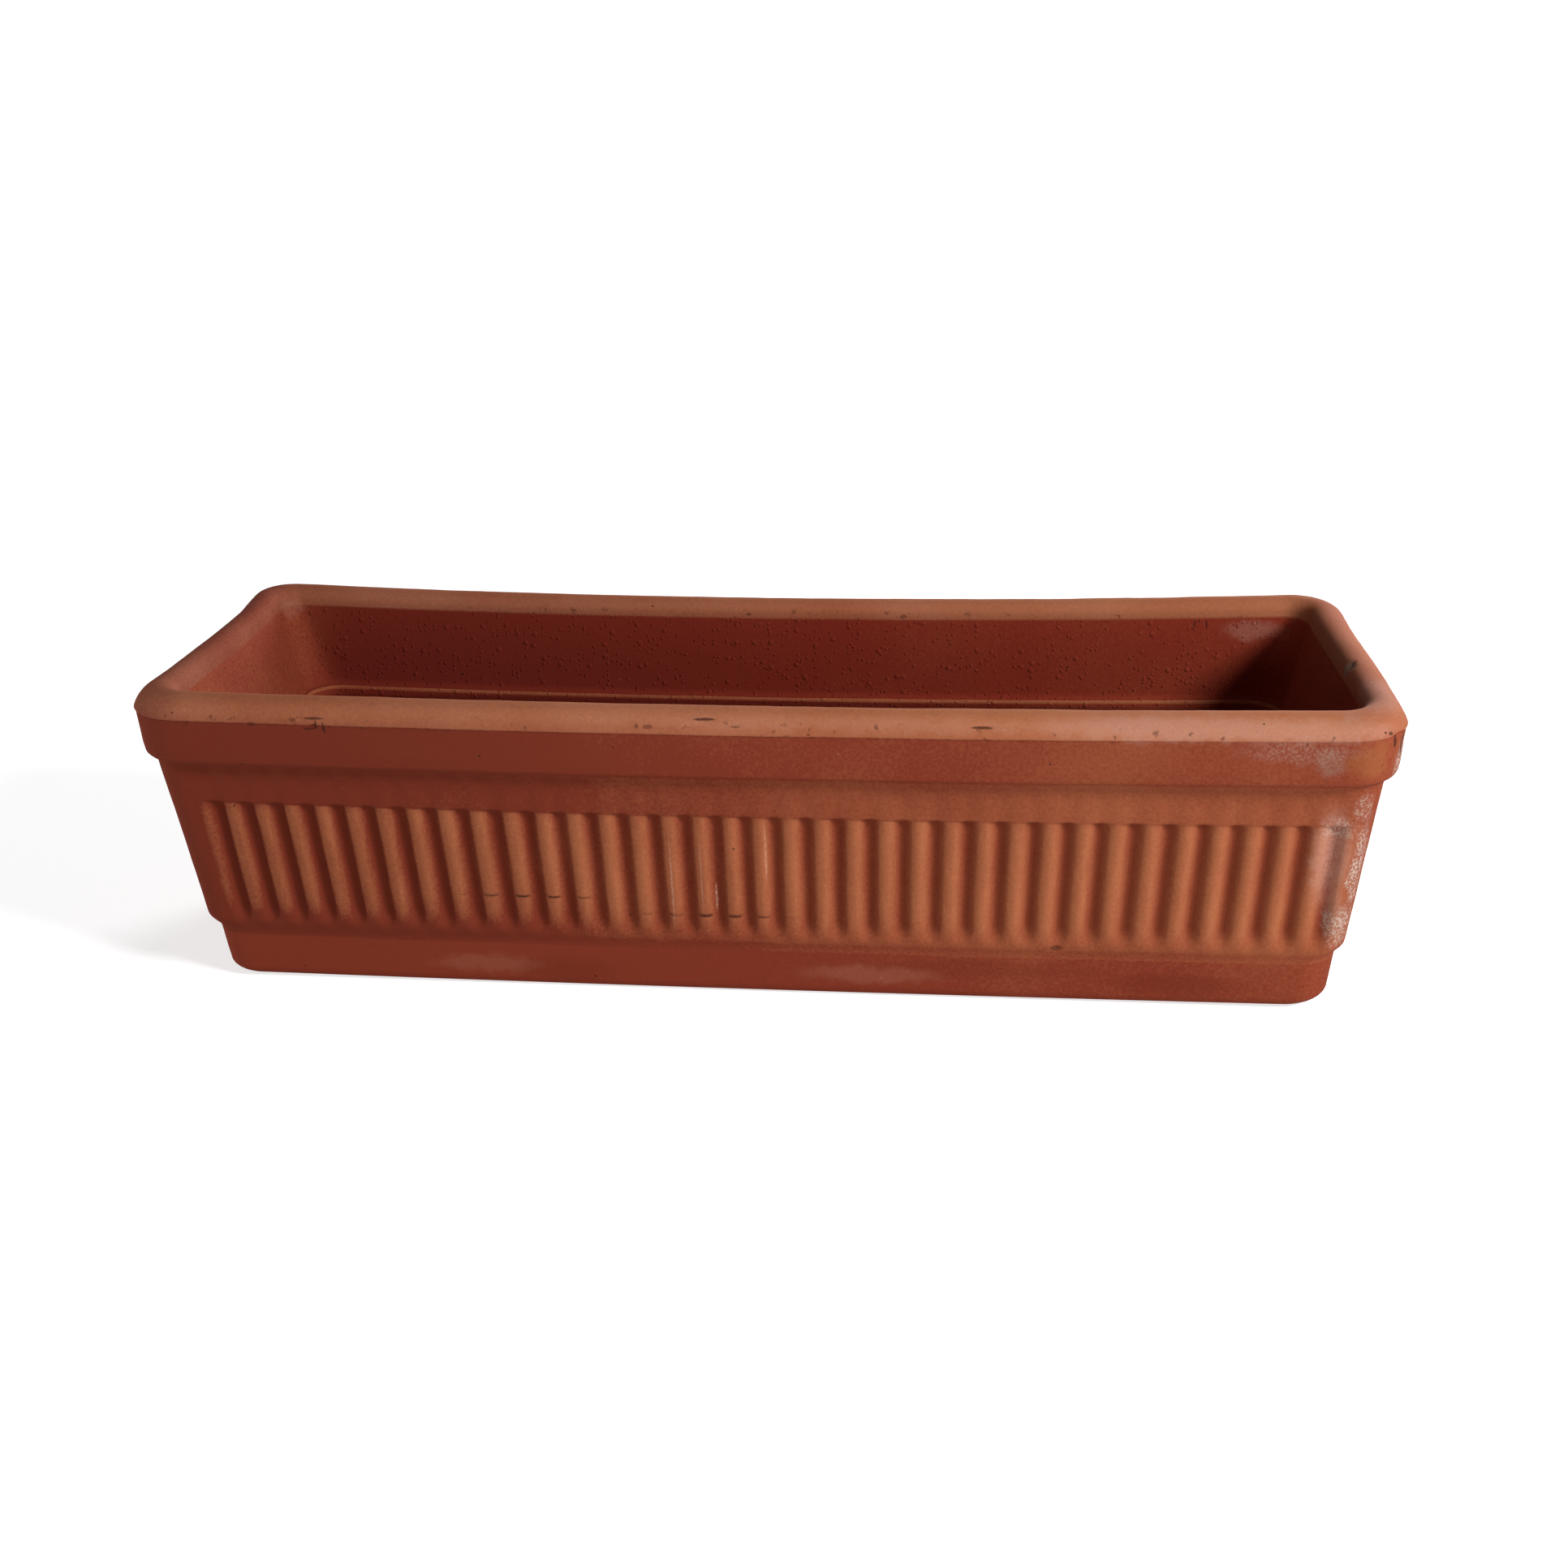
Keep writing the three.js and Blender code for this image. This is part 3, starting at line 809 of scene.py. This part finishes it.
def bodyColour(tree, at, textures):
    # Painted shade inside the trough, darker towards its left.
    soot = mixColour(tree, at["rightward"], clayLook["shadedInsideLeft"], clayLook["shadedInsideRight"])
    # Painted shade on the body towards the left end, but not on the base band or inside.
    plainDeep = highest(tree, eased(tree, at["rightward"], 0.0, 0.7), at["onBase"], at["inside"])
    deep = mixColour(tree, plainDeep, clayLook["shadedDeepLeft"], clayLook["deep"])
    base = mixColour(tree, at["soot"], deep, soot)
    # Painted shade on the strip under the shelf.
    base = mixColour(tree, product(tree, at["shadeUnderShelf"], 0.85), base, clayLook["shadeUnderShelf"])
    colour = mixColour(tree, clayWearAndLight(tree, at, textures), base, clayLook["paleWornAndLit"])
    # Painted shade in the flutes, stronger towards the right.
    shadeInGrooves = product(tree, at["fluteCut"], at["fluteCut"],
                       eased(tree, at["rightward"], 0.0, 1.0, 0.5, 0.75))
    colour = mixColour(tree, shadeInGrooves, colour, clayLook["grooveShade"])
    bloom = product(tree, at["onRoll"], eased(tree, textures["cloud"], *noiseMiddle, 0.03, 0.16))
    return mixColour(tree, bloom, colour, markKinds["bloom"]["colour"])


# Pits, tears across the ribs and nicks at the foot of the roll, all sunk into the clay.
def clayPits(tree, place, at, textures, marked):
    patches = [patch(tree, textures["ragged"]["close"], centre, size, tearSoftness) for centre, size in tears]
    torn = product(tree, highest(tree, *patches), eased(tree, at["bareCrest"], 0.5, 0.85),
                   eased(tree, noise(tree, place, 90.0), 0.33, 0.45))
    nicks = product(tree, at["rollFoot"], eased(tree, noise(tree, place, 190.0), 0.61, 0.69), 0.6)
    return highest(tree, marked, specks(tree, place, 95.0, 0.075, 0.16), torn, nicks)


# The skin's relief, with grit under it inside the trough.
def clayRelief(tree, place, at, textures, pits, lime):
    grit = highest(tree, specks(tree, textures["ragged"]["close"], 210.0, 0.34, 0.35),
                   specks(tree, place, 400.0, 0.36, 0.4))
    grit = maths(tree, "MULTIPLY", grit, eased(tree, at["inside"], 0.0, 1.0, 0.06, 1.0))
    lifts = {"grain": textures["grain"], "grit": grit, "powder": textures["powder"],
             "pits": pits, "lime": lime}
    height = total(tree, *(maths(tree, "MULTIPLY", value, relief[name]) for name, value in lifts.items()))
    return addNode(tree, "ShaderNodeBump", {"Height": height, "Strength": relief["strength"],
                                            "Distance": relief["depth"]}).outputs[0]


def firedClay():
    material = bpy.data.materials.new("firedClay")
    material.use_nodes = True
    tree = material.node_tree
    tree.nodes.clear()
    place = addNode(tree, "ShaderNodeTexCoord").outputs["Object"]
    textures = clayTextures(tree, place)
    at = clayPlaces(tree, place)
    masks = {kind: markMask(tree, textures["ragged"], kind, textures["powder"]) for kind in markKinds}
    pits = clayPits(tree, place, at, textures, masks.pop("pit"))

    colour = bodyColour(tree, at, textures)
    for kind, mask in masks.items():
        colour = mixColour(tree, mask, colour, markKinds[kind]["colour"])
    colour = mixColour(tree, maths(tree, "MULTIPLY", pits, 0.85), colour, markKinds["pit"]["colour"])
    pale = maths(tree, "MULTIPLY", specks(tree, textures["ragged"]["close"], 120.0, 0.06, 0.14), 0.5)
    colour = mixColour(tree, pale, colour, clayLook["paleSpeck"])

    roughness = eased(tree, textures["cloud"], *noiseMiddle, *clayLook["roughness"], "LINEAR")
    bump = clayRelief(tree, place, at, textures, pits, masks["lime"])
    shader = addNode(tree, "ShaderNodeBsdfPrincipled", {"Base Color": colour, "Roughness": roughness,
                                                        "Normal": bump})
    shader.inputs["Specular IOR Level"].default_value = clayLook["gloss"]
    addNode(tree, "ShaderNodeOutputMaterial", {"Surface": shader.outputs[0]})
    return material


skin = shapedTrough(firedClay())
knockEdges(skin)
skin.shade_smooth()
skin.name = "fluted_trough"
trough = bpy.data.objects.new("fluted_trough", skin)
scene.collection.objects.link(trough)
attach(trough, "root")
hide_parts("clay_trough")
print("trough in place")


# The floor, the light and the camera, in metres.
studio = {
    "floorSize": 30.0, "floorGrey": 0.8,
    "floorSeen": 2.6,  # grey that the camera sees, so that the lit floor is white and keeps its shadow
    "shadowReach": (0.30, 0.95),  # from the trough to where the floor's shadow starts to fade and ends
    "shadowStretch": (0.55, 1.0, 1.0),  # the shadow's fade reaches further along the trough than across it
    "shadowFade": 0.7,  # how far the shadow is already faded beside the trough
    "worldStrength": 0.06,
}
lampAim = (0.0, 0.0, 0.08)
lamps = (
    {"name": "highWindow", "place": (1.55, -0.90, 1.22), "size": 0.55, "watts": 40.0},
    {"name": "lowFront", "place": (0.20, -1.8, 0.28), "size": 0.6, "watts": 8.0},
    {"name": "farSide", "place": (0.80, 1.6, 0.70), "size": 0.8, "watts": 26.0},
    {"name": "leftSide", "place": (-1.5, -0.25, 0.09), "size": 0.12, "watts": 7.0},
)


# Matt white with the trough's shadow on it close by, and plain white further out.
def paleFloor():
    material = bpy.data.materials.new("paleFloor")
    material.use_nodes = True
    tree = material.node_tree
    tree.nodes.clear()
    seen = addNode(tree, "ShaderNodeLightPath").outputs["Is Camera Ray"]
    grey = eased(tree, seen, 0.0, 1.0, studio["floorGrey"], studio["floorSeen"], "LINEAR")
    matt = addNode(tree, "ShaderNodeBsdfDiffuse", {"Color": grey}).outputs[0]
    white = addNode(tree, "ShaderNodeEmission", {"Color": (1, 1, 1, 1), "Strength": 1.0}).outputs[0]
    place = addNode(tree, "ShaderNodeTexCoord").outputs["Object"]
    reach = vectorLength(tree, vectorMaths(tree, "MULTIPLY", place, studio["shadowStretch"]))
    plain = product(tree, eased(tree, reach, *studio["shadowReach"], studio["shadowFade"], 1.0), seen)
    surface = addNode(tree, "ShaderNodeMixShader", {0: plain, 1: matt, 2: white}).outputs[0]
    addNode(tree, "ShaderNodeOutputMaterial", {"Surface": surface})
    half = studio["floorSize"] / 2
    corners = [(-half, -half, 0), (half, -half, 0), (half, half, 0), (-half, half, 0)]
    mesh = bpy.data.meshes.new("pale_floor")
    mesh.from_pydata(corners, [], [(0, 1, 2, 3)])
    mesh.materials.append(material)
    floor = bpy.data.objects.new("pale_floor", mesh)
    scene.collection.objects.link(floor)


def paleWorld():
    world = bpy.data.worlds.new("paleWorld")
    world.use_nodes = True
    tree = world.node_tree
    tree.nodes.clear()
    path = addNode(tree, "ShaderNodeLightPath").outputs
    seen = highest(tree, path["Is Camera Ray"], path["Is Glossy Ray"], path["Is Transmission Ray"])
    strength = eased(tree, seen, 0.0, 1.0, studio["worldStrength"], 1.0, "LINEAR")
    background = addNode(tree, "ShaderNodeBackground", {"Color": (1, 1, 1, 1), "Strength": strength})
    addNode(tree, "ShaderNodeOutputWorld", {"Surface": background.outputs[0]})
    scene.world = world


def addLamp(lamp):
    data = bpy.data.lights.new(lamp["name"], "AREA")
    data.shape = "DISK"
    data.size = lamp["size"]
    data.energy = lamp["watts"]
    made = bpy.data.objects.new(lamp["name"], data)
    made.location = lamp["place"]
    made.rotation_euler = (Vector(lampAim) - Vector(lamp["place"])).to_track_quat("-Z", "Y").to_euler()
    scene.collection.objects.link(made)


# The view is from a little right of the middle, looking down over the near wall.
viewpoint = {
    "place": (0.1228, -0.9868, 0.4889),
    "turn": -0.1183, "tilt": 0.3872, "roll": -0.0236,  # radians
    "sensorWidth": 36, "lens": 48.45,  # mm
}


def addCamera():
    turn, tilt, roll = viewpoint["turn"], viewpoint["tilt"], viewpoint["roll"]
    forward = Vector((math.sin(turn) * math.cos(tilt), math.cos(turn) * math.cos(tilt), -math.sin(tilt)))
    right = Vector((math.cos(turn), -math.sin(turn), 0))
    up = right.cross(forward)
    rolledRight = math.cos(roll) * right + math.sin(roll) * up
    rolledUp = -math.sin(roll) * right + math.cos(roll) * up
    data = bpy.data.cameras.new("viewpoint")
    data.sensor_width = viewpoint["sensorWidth"]
    data.lens = viewpoint["lens"]
    data.clip_start = 0.01
    data.clip_end = 100
    camera = bpy.data.objects.new("viewpoint", data)
    turned = Matrix((rolledRight, rolledUp, -forward)).transposed().to_4x4()
    camera.matrix_world = Matrix.Translation(viewpoint["place"]) @ turned
    scene.collection.objects.link(camera)
    scene.camera = camera


paleFloor()
paleWorld()
for lamp in lamps:
    addLamp(lamp)
addCamera()
scene.view_settings.view_transform = "Standard"
print("floor, light and camera ready")
